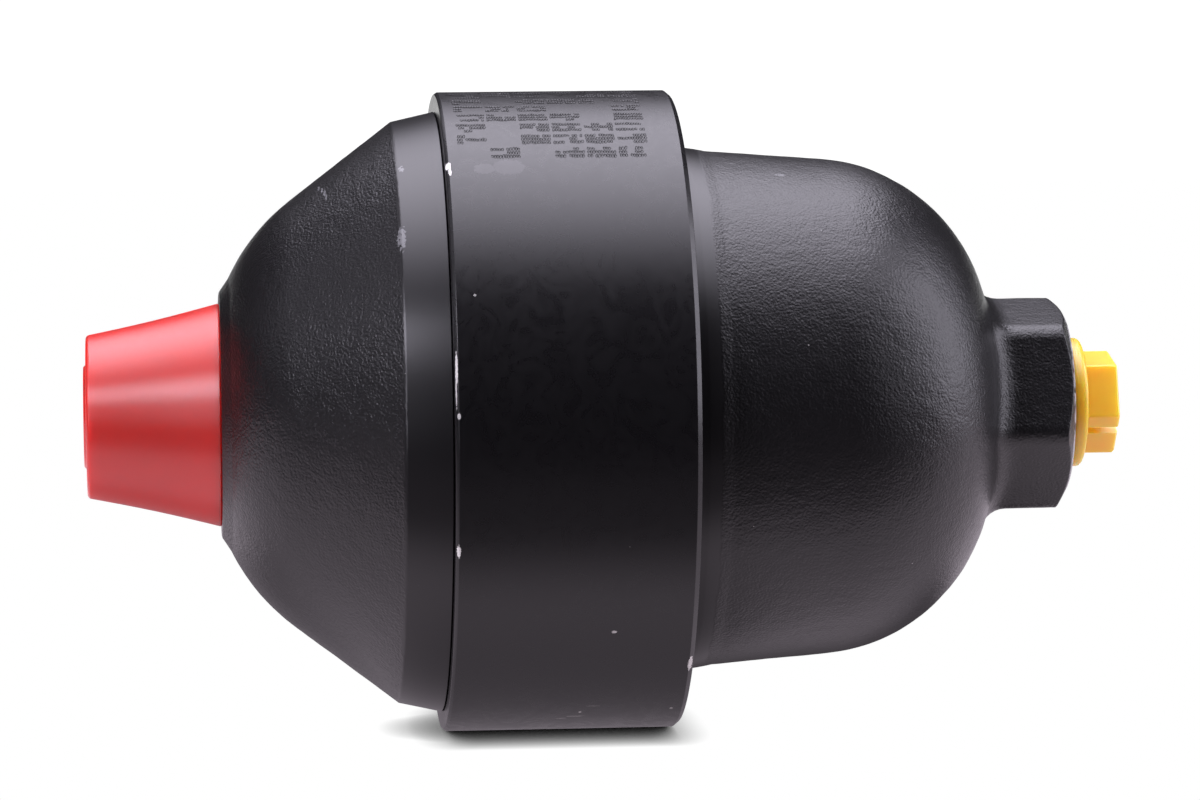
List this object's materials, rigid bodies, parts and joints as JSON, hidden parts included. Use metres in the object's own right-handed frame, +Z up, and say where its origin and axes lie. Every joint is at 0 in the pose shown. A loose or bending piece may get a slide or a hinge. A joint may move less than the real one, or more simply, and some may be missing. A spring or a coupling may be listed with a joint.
{
  "type": "diaphragm accumulator",
  "caption": "Screwed diaphragm accumulator: forged gas and fluid shells held by a smooth union nut, with a hexagon port boss, a plastic port plug and a capped gas end.",
  "frame": {"origin": "on the axis, in the middle of the union nut's outer cylinder", "axes": "+X along the axis from the gas end to the fluid port, +Z up as the accumulator lies in its clamp"},
  "size_m": [0.1913, 0.118, 0.118],
  "materials": {
    "smooth_black_paint": "satin black paint over turned steel",
    "forged_black_paint": "satin black paint over a pebbly forged skin",
    "diaphragm_rubber": "moulded nitrile rubber",
    "bare_steel": "turned steel",
    "seal_rubber": "flat rubber seal",
    "red_plastic": "soft moulded red polyethylene",
    "yellow_plastic": "moulded yellow polyethylene"
  },
  "bodies": {
    "housing": {"union_nut": "smooth_black_paint", "fluid_shell": "forged_black_paint", "gas_shell": "forged_black_paint", "diaphragm": "diaphragm_rubber", "charging_screw": "bare_steel", "charging_screw_seal": "seal_rubber", "gas_cap": "red_plastic", "port_plug": "yellow_plastic"},
    "button": {"valve_button": "bare_steel"}
  },
  "joints": [
    {"name": "button_slide", "type": "slide", "parent": "housing", "child": "button", "axis": [-1, 0, 0], "range_m": [0, 0.085], "stiffness_N_per_m": 60, "springref_m": -0.05, "deforming": ["diaphragm"]}
  ]
}
